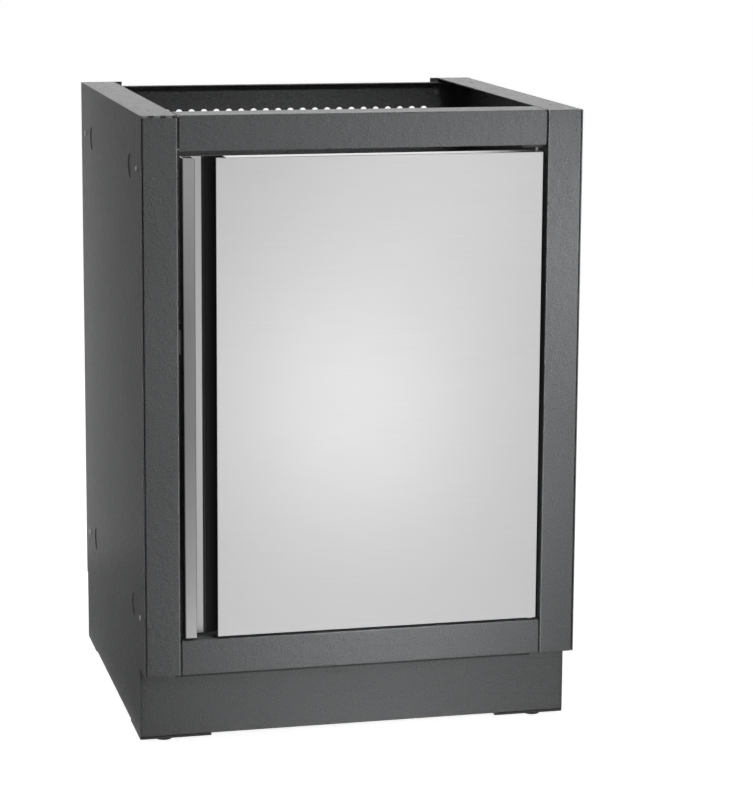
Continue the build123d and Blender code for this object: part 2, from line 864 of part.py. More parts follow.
with BuildPart() as catch_screws:
    for height in catch_screw_heights:
        seat = Plane((catch_right, catch_front + catch_depth / 2, height), x_dir=(0, 1, 0), z_dir=(1, 0, 0))
        length = catch_width + sheet * 2
        add(pan_screw(seat, small_head_radius, small_head_height, small_screw_radius, length))
catch_screws.part.label = "catch_screws"
export_step(catch_screws.part, "parts/catch_screws.step")

# Door skin: the brushed face, with returns at its top, bottom and hinge side. Its grip edge is
# folded flat back on itself, and the returns stop short there so the grip runs open end to end.
with BuildPart() as door_skin:
    add(block((returns_left, front, door_bottom), (door_right, pan_front, door_top)))
    add(
        block(
            (returns_left - overrun, skin_back, door_bottom + door_sheet),
            (door_right - door_sheet, pan_front + overrun, door_top - door_sheet),
        ),
        mode=Mode.SUBTRACT,
    )
    add(block((face_left, front, door_bottom), (returns_left, skin_back, door_top)))
    add(block((face_left, skin_back, door_bottom), (face_left + grip_hem, skin_back + door_sheet, door_top)))
    face_rim = door_skin.faces().sort_by(Axis.Y)[0].outer_wire().edges()
    fillet(face_rim, radius=door_sheet / 2)
    with BuildSketch(Plane.XY.offset(door_bottom)):
        with Locations((hinge_x, hinge_y)):
            Circle(bush_radius)
    extrude(amount=door_top - door_bottom, mode=Mode.SUBTRACT)
door_skin.part.label = "door_skin"
export_step(door_skin.part, "parts/door_skin.step")

# Inner panel: a flat sheet that closes the back of the door from the rib to the hinge side
pan_left = door_left + door_sheet
with BuildPart() as door_inner_panel:
    add(block((pan_left, pan_front, door_bottom), (door_right, door_back, door_top)))
door_inner_panel.part.label = "door_inner_panel"
export_step(door_inner_panel.part, "parts/door_inner_panel.step")

# Edge strips: four bars welded to the inner panel just inside the skin's returns, which they stiffen
strips_front = pan_front - door_strip_width
strips_left = returns_left + insert_wall
strips_right = door_right - door_sheet
strips_bottom = door_bottom + door_sheet
strips_top = door_top - door_sheet
upright_bottom = strips_bottom + door_strip_sheet + door_strip_gap
upright_top = strips_top - door_strip_sheet - door_strip_gap
with BuildPart() as door_edge_strips:
    add(
        block(
            (strips_left, strips_front, strips_bottom),
            (strips_right, pan_front, strips_bottom + door_strip_sheet),
        )
    )
    add(
        block(
            (strips_left, strips_front, strips_top - door_strip_sheet),
            (strips_right, pan_front, strips_top),
        )
    )
    add(
        block(
            (strips_left, strips_front, upright_bottom),
            (strips_left + door_strip_sheet, pan_front, upright_top),
        )
    )
    add(
        block(
            (strips_right - door_strip_sheet, strips_front, upright_bottom),
            (strips_right, pan_front, upright_top),
        )
    )
door_edge_strips.part.label = "door_edge_strips"
export_step(door_edge_strips.part, "parts/door_edge_strips.step")

# Grip rail: a hollow rib level with the door's face, and a base strip on the inner panel
with BuildPart() as grip_rail:
    add(
        bent_sheet(
            Plane.XY.offset(door_bottom),
            [
                (door_left, door_back),
                (door_left, front),
                (rib_right, front),
                (rib_right, pan_front - door_sheet),
                (rib_base_right, pan_front - door_sheet),
            ],
            door_sheet,
            door_bend,
            door_top - door_bottom,
        )
    )
grip_rail.part.label = "grip_rail"
export_step(grip_rail.part, "parts/grip_rail.step")

# Grip insert: a black strip beside the base strip that runs in behind the door's face. A rounded
# lip along its left edge covers the base strip's cut edge.
insert_right = returns_left + insert_wall
lip_right = rib_base_right + insert_lip_width
lip_front = pan_front - insert_floor - insert_lip_height
with BuildPart() as grip_insert:
    with BuildSketch(Plane.XY.offset(door_bottom + door_sheet)):
        with BuildLine():
            Polyline(
                (rib_base_right, pan_front),
                (rib_base_right, lip_front),
                (lip_right, lip_front),
                (lip_right, pan_front - insert_floor),
                (insert_right, pan_front - insert_floor),
                (insert_right, pan_front),
                close=True,
            )
        make_face()
    extrude(amount=door_top - door_bottom - door_sheet * 2)
    lip_edges = grip_insert.edges().filter_by(Axis.Z).filter_by_position(Axis.Y, lip_front, lip_front)
    fillet(lip_edges, radius=insert_lip_round)
grip_insert.part.label = "grip_insert"
export_step(grip_insert.part, "parts/grip_insert.step")

# Grip back strip: closes the far side of the finger recess between the insert and the door skin
with BuildPart() as grip_back_strip:
    add(
        block(
            (returns_left, skin_back, door_bottom + door_sheet),
            (insert_right, pan_front - insert_floor, door_top - door_sheet),
        )
    )
grip_back_strip.part.label = "grip_back_strip"
export_step(grip_back_strip.part, "parts/grip_back_strip.step")

# Bushes for the pivot pins, each in a reinforcing plate inside the door's return
for name, low in (("top_hinge_bush", door_top - bush_length), ("bottom_hinge_bush", door_bottom)):
    with BuildPart() as hinge_bush:
        with BuildSketch(Plane.XY.offset(low)):
            with Locations((hinge_x, hinge_y)):
                Circle(bush_radius)
                Circle(pin_radius + pin_fit, mode=Mode.SUBTRACT)
        extrude(amount=bush_length)
    hinge_bush.part.label = name
    export_step(hinge_bush.part, f"parts/{name}.step")

plate_left = door_right - door_sheet - reinforcement_width
with BuildPart() as hinge_reinforcements:
    for low in (door_bottom + door_sheet, door_top - door_sheet - reinforcement_thickness):
        add(
            block(
                (plate_left, skin_back, low),
                (door_right - door_sheet, skin_back + reinforcement_depth, low + reinforcement_thickness),
            )
        )
    with BuildSketch(Plane.XY.offset(door_bottom)):
        with Locations((hinge_x, hinge_y)):
            Circle(bush_radius)
    extrude(amount=door_top - door_bottom, mode=Mode.SUBTRACT)
hinge_reinforcements.part.label = "hinge_reinforcements"
export_step(hinge_reinforcements.part, "parts/hinge_reinforcements.step")

# Strike plate: riveted to the back of the door, opposite the catch
strike_left = door_left + door_sheet
strike_low = catch_bottom - strike_overhang
strike_high = catch_bottom + catch_height + strike_overhang
strike_rivet_heights = (strike_low + strike_edge, strike_high - strike_edge)
with BuildPart() as strike_plate:
    with BuildSketch(Plane.XZ.offset(-door_back)):
        with Locations((strike_left + strike_width / 2, (strike_low + strike_high) / 2)):
            Rectangle(strike_width, strike_high - strike_low)
        with Locations([(strike_left + strike_width / 2, height) for height in strike_rivet_heights]):
            Circle(small_hole_radius, mode=Mode.SUBTRACT)
    extrude(amount=-strike_thickness)
strike_plate.part.label = "strike_plate"
export_step(strike_plate.part, "parts/strike_plate.step")

with BuildPart() as strike_rivets:
    for height in strike_rivet_heights:
        seat = Plane((strike_left + strike_width / 2, strike_back, height), x_dir=(1, 0, 0), z_dir=(0, 1, 0))
        rivet = (small_head_radius, rivet_head_height, small_screw_radius, strike_thickness)
        add(pan_screw(seat, *rivet, recessed=False))
strike_rivets.part.label = "strike_rivets"
export_step(strike_rivets.part, "parts/strike_rivets.step")
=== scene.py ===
import math

import bpy
from mathutils import Matrix, Vector


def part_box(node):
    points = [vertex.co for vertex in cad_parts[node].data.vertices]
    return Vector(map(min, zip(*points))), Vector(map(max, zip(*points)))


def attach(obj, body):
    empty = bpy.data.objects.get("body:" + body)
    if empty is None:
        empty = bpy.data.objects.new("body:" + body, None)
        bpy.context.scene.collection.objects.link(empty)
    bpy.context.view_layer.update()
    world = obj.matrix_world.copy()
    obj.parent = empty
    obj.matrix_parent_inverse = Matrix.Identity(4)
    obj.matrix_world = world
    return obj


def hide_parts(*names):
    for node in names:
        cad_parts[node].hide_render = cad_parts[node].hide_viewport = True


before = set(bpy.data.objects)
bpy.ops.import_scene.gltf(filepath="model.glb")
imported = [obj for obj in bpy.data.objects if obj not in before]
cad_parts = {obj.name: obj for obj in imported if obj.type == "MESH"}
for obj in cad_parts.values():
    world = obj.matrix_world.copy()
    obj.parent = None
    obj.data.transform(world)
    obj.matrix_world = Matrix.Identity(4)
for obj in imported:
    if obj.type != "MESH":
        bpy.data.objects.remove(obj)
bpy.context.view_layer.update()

# Camera: stands to the left of the cabinet and a little above it, far enough back that the sides
# stay nearly parallel, as in the photograph.
camera_place = Vector((-0.845, -3.807, 1.195))
camera_turn = math.radians(13.772)
camera_dip = math.radians(10.105)
camera_roll = math.radians(0.368)
camera_lens = 121.57
camera_shift = -0.06
looks_along = Vector(
    (
        math.sin(camera_turn) * math.cos(camera_dip),
        math.cos(camera_turn) * math.cos(camera_dip),
        -math.sin(camera_dip),
    )
)
level_right = Vector((math.cos(camera_turn), -math.sin(camera_turn), 0))
level_up = level_right.cross(looks_along)
right = level_right * math.cos(camera_roll) + level_up * math.sin(camera_roll)
up = level_up * math.cos(camera_roll) - level_right * math.sin(camera_roll)
camera = bpy.data.objects.new("camera", bpy.data.cameras.new("camera"))
camera.matrix_world = Matrix.LocRotScale(
    camera_place,
    Matrix((right, up, -looks_along)).transposed(),
    None,
)
camera.data.lens = camera_lens
camera.data.shift_y = camera_shift
bpy.context.scene.collection.objects.link(camera)
bpy.context.scene.camera = camera
bpy.context.scene.view_settings.view_transform = "Standard"

# Floor: a pale seamless studio floor. It is white to the camera and in reflections, and keeps the
# cabinet's soft shadow.
floor_size = 40
floor_tone = (0.62, 0.62, 0.62, 1)
floor_roughness = 0.9
floor_glow = 0.88
floor_far_glow = 0.93
floor_fade_start = 1.0
floor_fade_end = 4.5
white = (1, 1, 1, 1)


def math_of(tree, operation, first, second):
    """The result of an operation on two numbers, each a constant or the output of a node."""
    made = tree.nodes.new("ShaderNodeMath")
    made.operation = operation
    for place, value in enumerate((first, second)):
        if isinstance(value, (int, float)):
            made.inputs[place].default_value = value
        else:
            tree.links.new(value, made.inputs[place])
    return made.outputs[0]


def spread(tree, value, low, high, to_low, to_high):
    """Maps value from low..high onto to_low..to_high, and holds it there."""
    made = tree.nodes.new("ShaderNodeMapRange")
    made.inputs["From Min"].default_value = low
    made.inputs["From Max"].default_value = high
    for label, bound in (("To Min", to_low), ("To Max", to_high)):
        if isinstance(bound, (int, float)):
            made.inputs[label].default_value = bound
        else:
            tree.links.new(bound, made.inputs[label])
    tree.links.new(value, made.inputs["Value"])
    return made.outputs["Result"]


def seen_directly(tree):
    """1 where a surface is seen by the camera, in a reflection or through glass."""
    path = tree.nodes.new("ShaderNodeLightPath")
    either = math_of(tree, "MAXIMUM", path.outputs["Is Camera Ray"], path.outputs["Is Glossy Ray"])
    return math_of(tree, "MAXIMUM", either, path.outputs["Is Transmission Ray"])


def new_material(name):
    """A material with its node tree and its shader."""
    material = bpy.data.materials.new(name)
    material.use_nodes = True
    return material, material.node_tree, material.node_tree.nodes["Principled BSDF"]


def modelled(name, points, faces, material):
    """An object in the scene, made of the points and faces."""
    mesh = bpy.data.meshes.new(name)
    mesh.from_pydata(points, [], faces)
    mesh.materials.append(material)
    piece = bpy.data.objects.new(name, mesh)
    bpy.context.scene.collection.objects.link(piece)
    return piece


floor_paint, tree, shader = new_material("studio_floor")
shader.inputs["Base Color"].default_value = floor_tone
shader.inputs["Roughness"].default_value = floor_roughness
shader.inputs["Specular IOR Level"].default_value = 0
shader.inputs["Emission Color"].default_value = white
away = tree.nodes.new("ShaderNodeVectorMath")
away.operation = "LENGTH"
tree.links.new(tree.nodes.new("ShaderNodeTexCoord").outputs["Object"], away.inputs[0])
outward = spread(
    tree, away.outputs["Value"], floor_fade_start, floor_fade_end, floor_glow, floor_far_glow
)
glow = math_of(tree, "MULTIPLY", outward, seen_directly(tree))
tree.links.new(glow, shader.inputs["Emission Strength"])
half_floor = floor_size / 2
floor_corners = [
    (-half_floor, -half_floor, 0),
    (half_floor, -half_floor, 0),
    (half_floor, half_floor, 0),
    (-half_floor, half_floor, 0),
]
modelled("studio_floor", floor_corners, [(0, 1, 2, 3)], floor_paint)

# Room: a white studio, white where it is seen or reflected and soft grey as light. Its front fades
# upwards in reflections, so that the top of the door is darker than its middle.
room_light = 0.15
front_fade = 0.7
fade_low = -0.10
fade_high = 0.30
fade_rear = 0.1
fade_front = -0.4
room = bpy.data.worlds.new("studio")
bpy.context.scene.world = room
room.use_nodes = True
tree = room.node_tree
background = tree.nodes["Background"]
background.inputs["Color"].default_value = white
brighter = spread(tree, seen_directly(tree), 0, 1, room_light, 1)
towards = tree.nodes.new("ShaderNodeSeparateXYZ")
tree.links.new(tree.nodes.new("ShaderNodeTexCoord").outputs["Generated"], towards.inputs["Vector"])
upward = spread(tree, towards.outputs["Z"], fade_low, fade_high, 0, 1)
forward = spread(tree, towards.outputs["Y"], fade_rear, fade_front, 0, 1)
to_camera = tree.nodes.new("ShaderNodeLightPath").outputs["Is Camera Ray"]
unseen = math_of(tree, "SUBTRACT", front_fade, to_camera)
unseen.node.use_clamp = True
faded = math_of(tree, "MULTIPLY", math_of(tree, "MULTIPLY", upward, forward), unseen)
lit = math_of(tree, "MULTIPLY", brighter, math_of(tree, "SUBTRACT", 1, faded))
tree.links.new(lit, background.inputs["Strength"])

# Lamps: soft boxes light the coat from the front, the left rear, overhead and behind. Those that
# are kept out of the gloss don't show in the door, and the two stripes show in the door alone, as
# its soft bright patch.


def soft_box(name, place, aim, size, power, opening=180, in_gloss=True, in_diffuse=True):
    """A rectangular lamp that stands at a place and shines towards aim, within an opening angle."""
    lamp = bpy.data.lights.new(name, "AREA")
    lamp.shape = "RECTANGLE"
    lamp.size, lamp.size_y = size
    lamp.energy = power
    lamp.spread = math.radians(opening)
    stand = bpy.data.objects.new(name, lamp)
    stand.location = place
    stand.rotation_euler = (Vector(aim) - Vector(place)).to_track_quat("-Z", "Y").to_euler()
    stand.visible_camera = False
    stand.visible_glossy = in_gloss
    stand.visible_diffuse = in_diffuse
    bpy.context.scene.collection.objects.link(stand)


soft_box("key_box", (0.98, -1.15, 0.70), (0.18, -0.29, 0.70), (0.4, 0.2), 2.75, 55, in_gloss=False)
soft_box("low_front_box", (0.1, -2.2, 0.75), (0.08, -0.29, 0.16), (0.5, 0.04), 0.75, 34, in_gloss=False)
soft_box("inner_fill_box", (0.1, -0.9, 1.6), (0, 0.29, 0.75), (0.3, 0.1), 0.3, 30, in_gloss=False)
soft_box("stripe_box", (0.33, -1.8, 0.18), (-0.03, -0.29, 0.35), (0.25, 0.35), 0.85, in_diffuse=False)
soft_box("upper_stripe_box", (0.5, -1.8, 0.7), (0.2, -0.29, 0.8), (0.45, 0.5), 0.62, in_diffuse=False)
soft_box("rail_box", (0.03, -0.62, 0.95), (0.03, -0.29, 0.135), (0.2, 0.1), 0.75, 40, in_gloss=False)
soft_box("side_rear_box", (-0.95, 0.8, 0.42), (-0.305, 0.25, 0.42), (0.4, 0.9), 7, in_gloss=False)
soft_box("overhead_box", (0.2, -0.1, 3.2), (0.1, -0.1, 0), (2.4, 2.4), 21)
soft_box("rim_box", (1.0, 3.4, 1.7), (0.1, 0.2, 0.8), (3.0, 1.2), 11)

# Dark cards: one stands along the left rear, out of the picture, and one lies on the floor at the
# left, so that the side panel reflects them.
card_tone = (0.1, 0.1, 0.1, 1)
card_glow = 0.08
card_height = 4
card_lift = 0.002
card_near = (-0.42, 0.8)
card_far = (-3.2, 0.2)
lying_corners = ((-0.312, -1.2), (-3.2, -1.2), card_far, card_near, (-0.312, 0.8))
card_points = [
    (*card_near, 0),
    (*card_far, 0),
    (*card_far, card_height),
    (*card_near, card_height),
]
card_points += [(*corner, card_lift) for corner in lying_corners]
card_cloth, tree, shader = new_material("dark_card")
shader.inputs["Base Color"].default_value = card_tone
shader.inputs["Emission Color"].default_value = white
shader.inputs["Emission Strength"].default_value = card_glow
card = modelled("dark_card", card_points, [(0, 1, 2, 3), (4, 5, 6, 7, 8)], card_cloth)
card.visible_camera = False
card.visible_diffuse = False
card.visible_shadow = False

# Carcass: side panels, posts, rails, toe kick, floor, stiffener and back panel. Bent steel sheet
# 1.5 mm thick with a dark grey, finely wrinkled powder coat baked on.
coat_grey = (0.088, 0.090, 0.092, 1)
patch_scale = 75
drift_scale = 3.2
carcass = (
    "side_panel_left",
    "side_panel_right",
    "front_post_left",
    "front_post_right",
    "top_front_rail",
    "bottom_front_rail",
    "toe_kick",
    "rear_base_rail",
    "floor_panel",
    "floor_stiffener",
    "back_panel",
)


def effect_group(name, inputs, outputs):
    """An empty shader node group with the named inputs and outputs."""
    group = bpy.data.node_groups.new(name, "ShaderNodeTree")
    for label, kind, value in inputs:
        socket = group.interface.new_socket(label, in_out="INPUT", socket_type=kind)
        socket.default_value = value
    for label, kind in outputs:
        group.interface.new_socket(label, in_out="OUTPUT", socket_type=kind)
    start = group.nodes.new("NodeGroupInput")
    end = group.nodes.new("NodeGroupOutput")
    return group, start, end


def noise(tree, vector, scale, detail, roughness=0.55):
    """Soft noise at a scale that is a constant or the output of a node."""
    made = tree.nodes.new("ShaderNodeTexNoise")
    if isinstance(scale, (int, float)):
        made.inputs["Scale"].default_value = scale
    else:
        tree.links.new(scale, made.inputs["Scale"])
    made.inputs["Detail"].default_value = detail
    made.inputs["Roughness"].default_value = roughness
    tree.links.new(vector, made.inputs["Vector"])
    return made.outputs["Fac"]


def brighten(tree, colour, amount):
    """The colour times an amount that varies over the surface."""
    made = tree.nodes.new("ShaderNodeVectorMath")
    made.operation = "SCALE"
    tree.links.new(colour, made.inputs[0])
    tree.links.new(amount, made.inputs["Scale"])
    return made.outputs["Vector"]


def wrinkled_coat():
    """Fine bumps and pits in loose patches, as on powder coat, paint and moulded plastic, with a painted
    glint on each bump and painted shade in each pit.
    """
    group, start, end = effect_group(
        "wrinkled_coat",
        (
            ("Colour", "NodeSocketColor", (0.06, 0.06, 0.06, 1)),
            ("Wrinkle Scale", "NodeSocketFloat", 900),
            ("Painted Glint And Pit Shade", "NodeSocketFloat", 0.3),
            ("Roughness", "NodeSocketFloat", 0.5),
        ),
        (
            ("Colour", "NodeSocketColor"),
            ("Roughness", "NodeSocketFloat"),
            ("Height", "NodeSocketFloat"),
        ),
    )
    place = group.nodes.new("ShaderNodeTexCoord").outputs["Object"]
    wrinkles = noise(group, place, start.outputs["Wrinkle Scale"], 2, 0.45)
    patches = spread(group, noise(group, place, patch_scale, 2), 0.40, 0.58, 0.35, 1)
    bumps = spread(group, wrinkles, 0.56, 0.72, 0, 1)
    pits = spread(group, wrinkles, 0.30, 0.44, 1, 0)
    drift = spread(group, noise(group, place, drift_scale, 2), 0.3, 0.7, 0.96, 1.04)
    # Painted highlight and shade: the colour is lighter on the bumps, as glints, and darker in the pits.
    relief = math_of(group, "SUBTRACT", bumps, math_of(group, "MULTIPLY", pits, 0.6))
    relief = math_of(group, "MULTIPLY", relief, patches)
    painted_glints_and_pits = math_of(group, "MULTIPLY", relief, start.outputs["Painted Glint And Pit Shade"])
    tone = math_of(group, "MULTIPLY", math_of(group, "ADD", 1, painted_glints_and_pits), drift)
    group.links.new(brighten(group, start.outputs["Colour"], tone), end.inputs["Colour"])
    uneven = spread(group, wrinkles, 0.3, 0.7, -0.05, 0.05)
    rough = math_of(group, "ADD", start.outputs["Roughness"], uneven)
    group.links.new(rough, end.inputs["Roughness"])
    group.links.new(math_of(group, "MULTIPLY", wrinkles, patches), end.inputs["Height"])
    return group


coat_effect = wrinkled_coat()


def finished(name, effect, values, bump_depth, metallic=0, specular=0.5):
    """A material whose colour, roughness and relief come from an effect with its own values."""
    material, tree, shader = new_material(name)
    shader.inputs["Metallic"].default_value = metallic
    shader.inputs["Specular IOR Level"].default_value = specular
    pattern = tree.nodes.new("ShaderNodeGroup")
    pattern.node_tree = effect
    for label, value in values.items():
        pattern.inputs[label].default_value = value
    tree.links.new(pattern.outputs["Colour"], shader.inputs["Base Color"])
    tree.links.new(pattern.outputs["Roughness"], shader.inputs["Roughness"])
    bump = tree.nodes.new("ShaderNodeBump")
    bump.inputs["Distance"].default_value = bump_depth
    tree.links.new(pattern.outputs["Height"], bump.inputs["Height"])
    tree.links.new(bump.outputs["Normal"], shader.inputs["Normal"])
    return material


def dress(material, *nodes):
    """Gives the material to each of the named nodes."""
    for name in nodes:
        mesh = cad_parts[name].data
        for place in range(len(mesh.materials)):
            mesh.materials[place] = material


powder_coat = finished(
    "powder_coat",
    coat_effect,
    {"Colour": coat_grey, "Wrinkle Scale": 500, "Painted Glint And Pit Shade": 0.8, "Roughness": 0.42},
    bump_depth=0.0015,
    specular=0.4,
)
dress(powder_coat, *carcass)

# Painted light and shade on the coat: painted shade makes it black inside the seams beside the
# rails, painted highlights brighten the posts' inner bends and the three tabs that are folded over
# the left post, and a painted shadow darkens the toe kick's top, where the bottom rail shades it.
sheet = 0.0015
crisp = 0.0001
far = 5
anywhere = (-far, far)
seam_shade = 0.12
bend_highlight = 2.4
bend_highlight_width = 0.0015
tab_highlight = 2.2
kick_shade = 0.2
kick_shadow = 0.0155


def vector_of(tree, operation, first, second):
    """The result of an operation on the outputs of two nodes, for X, Y and Z apart."""
    made = tree.nodes.new("ShaderNodeVectorMath")
    made.operation = operation
    tree.links.new(first, made.inputs[0])
    tree.links.new(second, made.inputs[1])
    return made.outputs["Vector"]


def rise_between(tree, vector, low, high):
    """0 at low and 1 at high, for X, Y and Z apart."""
    made = tree.nodes.new("ShaderNodeMapRange")
    made.data_type = "FLOAT_VECTOR"
    tree.links.new(vector, made.inputs["Vector"])
    tree.links.new(low, made.inputs["From Min"])
    tree.links.new(high, made.inputs["From Max"])
    return made.outputs["Vector"]


def box_shade():
    """The colour times a share inside a box, with the sides of the box blurred outwards."""
    group, start, end = effect_group(
        "box_shade",
        (
            ("Colour", "NodeSocketColor", (0.5, 0.5, 0.5, 1)),
            ("Low", "NodeSocketVector", (-far, -far, -far)),
            ("High", "NodeSocketVector", (far, far, far)),
            ("Blur", "NodeSocketVector", (crisp, crisp, crisp)),
            ("Share", "NodeSocketFloat", 1),
        ),
        (("Colour", "NodeSocketColor"),),
    )
    place = group.nodes.new("ShaderNodeTexCoord").outputs["Object"]
    low = start.outputs["Low"]
    high = start.outputs["High"]
    blur = start.outputs["Blur"]
    past_low = rise_between(group, place, vector_of(group, "SUBTRACT", low, blur), low)
    short_of_high = rise_between(group, place, vector_of(group, "ADD", high, blur), high)
    inside = group.nodes.new("ShaderNodeSeparateXYZ")
    group.links.new(vector_of(group, "MULTIPLY", past_low, short_of_high), inside.inputs["Vector"])
    mask = math_of(group, "MULTIPLY", inside.outputs["X"], inside.outputs["Y"])
    mask = math_of(group, "MULTIPLY", mask, inside.outputs["Z"])
    share = spread(group, mask, 0, 1, 1, start.outputs["Share"])
    group.links.new(brighten(group, start.outputs["Colour"], share), end.inputs["Colour"])
    return group


box_effect = box_shade()


def shade_box(material, share, across=anywhere, deep=anywhere, up=anywhere, blur=(crisp, crisp, crisp)):
    """Multiplies the material's colour by a share inside a box, given by its ends along X, Y and Z."""
    tree = material.node_tree
    colour = tree.nodes["Principled BSDF"].inputs["Base Color"]
    box = tree.nodes.new("ShaderNodeGroup")
    box.node_tree = box_effect
    box.inputs["Low"].default_value = (across[0], deep[0], up[0])
    box.inputs["High"].default_value = (across[1], deep[1], up[1])
    box.inputs["Blur"].default_value = blur
    box.inputs["Share"].default_value = share
    tree.links.new(colour.links[0].from_socket, box.inputs["Colour"])
    tree.links.new(box.outputs["Colour"], colour)


post_low, post_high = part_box("front_post_right")
left_post_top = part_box("front_post_left")[1][2]
rail_low, rail_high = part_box("top_front_rail")
sill_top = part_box("bottom_front_rail")[1][2]
kick_low, kick_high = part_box("toe_kick")
post_depth = (post_low[1] - sheet, post_high[1])
face_depth = (post_low[1] - sheet, post_low[1] + sheet / 4)
for side in (-1, 1):
    # Painted shade inside the seams beside the rails.
    seam = sorted((side * rail_high[0], side * post_low[0]))
    for beside_rail in ((-far, sill_top - crisp), (rail_low[2] + crisp, far)):
        shade_box(powder_coat, seam_shade, seam, post_depth, beside_rail)
    # Painted highlight along each post's inner bend.
    bend = sorted((side * (post_low[0] + sheet / 5), side * (post_low[0] + bend_highlight_width)))
    shade_box(powder_coat, bend_highlight, bend, face_depth, blur=(sheet / 3, crisp, crisp))
# Painted highlight on the three tabs folded over the left post.
shade_box(
    powder_coat,
    tab_highlight,
    across=(-post_high[0], -post_low[0]),
    deep=(post_low[1] - sheet, post_low[1] + sheet),
    up=(left_post_top + sheet / 5, left_post_top + sheet * 4),
    blur=(crisp, crisp, sheet / 5),
)
# Painted shadow along the toe kick's top, under the bottom rail.
shade_box(
    powder_coat,
    kick_shade,
    across=(-post_low[0], post_low[0]),
    deep=(kick_low[1] - sheet, kick_low[1] + sheet / 4),
    up=(kick_high[2] - kick_shadow, kick_high[2]),
    blur=(crisp, crisp, sheet),
)

# Brackets, foot plates and hinge reinforcements: pressed steel in plain black paint, welded in
# before the carcass is coated or bolted behind it.
corners = ("front_left", "front_right", "rear_left", "rear_right")
black_paint = finished(
    "black_paint",
    coat_effect,
    {"Colour": (0.009, 0.009, 0.010, 1), "Wrinkle Scale": 240, "Painted Glint And Pit Shade": 0.14, "Roughness": 0.42},
    bump_depth=0.0001,
)
dress(
    black_paint,
    "top_rail_brackets",
    "bottom_rail_brackets",
    "hinge_reinforcements",
    "top_hinge_bracket",
    "bottom_hinge_bracket",
)
dress(black_paint, *(f"foot_plate_{corner}" for corner in corners))

# Studs of the feet: zinc-plated steel with a rolled thread. Each screws up into a nut that is
# welded on a corner plate, so that the cabinet can be levelled.
thread_pitch = 0.00125
thread_depth = 0.0007
thread_steps = 6
thread_sides = 20
sharp_edge = math.radians(35)


def brushed_grain():
    """Long fine scratches of brushed metal; Stretch squeezes space, so that small numbers run long."""
    group, start, end = effect_group(
        "brushed_grain",
        (
            ("Colour", "NodeSocketColor", (0.6, 0.6, 0.6, 1)),
            ("Stretch", "NodeSocketVector", (6, 900, 900)),
            ("Contrast", "NodeSocketFloat", 0.06),
            ("Roughness", "NodeSocketFloat", 0.32),
        ),
        (
            ("Colour", "NodeSocketColor"),
            ("Roughness", "NodeSocketFloat"),
            ("Height", "NodeSocketFloat"),
        ),
    )
    place = group.nodes.new("ShaderNodeTexCoord").outputs["Object"]
    line = vector_of(group, "MULTIPLY", place, start.outputs["Stretch"])
    fine = math_of(group, "MULTIPLY", noise(group, line, 1.0, 4, 0.7), 0.8)
    broad = math_of(group, "MULTIPLY", noise(group, line, 0.25, 2, 0.5), 0.2)
    scratches = math_of(group, "ADD", fine, broad)
    contrast = start.outputs["Contrast"]
    darkest = math_of(group, "SUBTRACT", 1, contrast)
    brightest = math_of(group, "ADD", 1, contrast)
    tone = spread(group, scratches, 0.32, 0.68, darkest, brightest)
    group.links.new(brighten(group, start.outputs["Colour"], tone), end.inputs["Colour"])
    uneven = spread(group, scratches, 0.3, 0.7, 0.015, -0.015)
    rough = math_of(group, "ADD", start.outputs["Roughness"], uneven)
    group.links.new(rough, end.inputs["Roughness"])
    group.links.new(scratches, end.inputs["Height"])
    return group


grain_effect = brushed_grain()
zinc = finished(
    "bright_zinc",
    grain_effect,
    {"Colour": (0.42, 0.42, 0.415, 1), "Stretch": (160, 160, 160), "Contrast": 0.1, "Roughness": 0.34},
    bump_depth=0.00004,
    metallic=1,
)
dress(zinc, "foot_nuts")


def closed_skin(name, rings, first, last, material):
    """A closed mesh over rings of points, from a first middle point to a last one."""
    sides = len(rings[0])
    points = [first] + [point for ring in rings for point in ring] + [last]
    faces = []
    for side in range(sides):
        beside = (side + 1) % sides
        faces.append((0, 1 + beside, 1 + side))
        for row in range(len(rings) - 1):
            low = 1 + row * sides
            high = low + sides
            faces.append((low + side, low + beside, high + beside, high + side))
        end = len(points) - 1 - sides
        faces.append((end + side, end + beside, len(points) - 1))
    piece = modelled(name, points, faces, material)
    piece.data.shade_smooth()
    piece.data.set_sharp_from_angle(angle=sharp_edge)
    return piece


def threaded_stud(name, low, high):
    """A stud between two corners of its box, with a V thread that runs out at both ends."""
    middle = (Vector(low) + Vector(high)) / 2
    radius = (high[0] - low[0]) / 2
    rows = round((high[2] - low[2]) / thread_pitch * thread_steps)
    rings = []
    for row in range(rows + 1):
        height = low[2] + (high[2] - low[2]) * row / rows
        from_end = min(height - low[2], high[2] - height)
        ring = []
        for side in range(thread_sides):
            turn = side / thread_sides
            phase = (height / thread_pitch - turn) % 1
            crest = radius - thread_depth * abs(2 * phase - 1)
            reach = min(crest, radius - thread_depth + from_end)
            angle = math.tau * turn
            ring.append((middle.x + reach * math.cos(angle), middle.y + reach * math.sin(angle), height))
        rings.append(ring)
    return closed_skin(name, rings, (middle.x, middle.y, low[2]), (middle.x, middle.y, high[2]), zinc)


for corner in corners:
    stud = threaded_stud(f"threaded_stud_{corner}", *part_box(f"foot_stud_{corner}"))
    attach(stud, f"foot_{corner}")
    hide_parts(f"foot_stud_{corner}")

# Pads of the feet: black glass-filled nylon, moulded round the stud's foot. The rim is fluted so
# that fingers can turn it, and the underside has rings that grip the floor.
pad_flutes = 18
pad_sides = pad_flutes * 6
flute_depth = 0.0006
tread_depth = 0.0004
# Reach from the middle, and 1 where the underside is raised between two rings
tread_rings = (
    (0.0030, 1),
    (0.0036, 0),
    (0.0050, 0),
    (0.0056, 1),
    (0.0066, 1),
    (0.0072, 0),
    (0.0086, 0),
    (0.0092, 1),
    (0.0098, 1),
    (0.0104, 0),
)
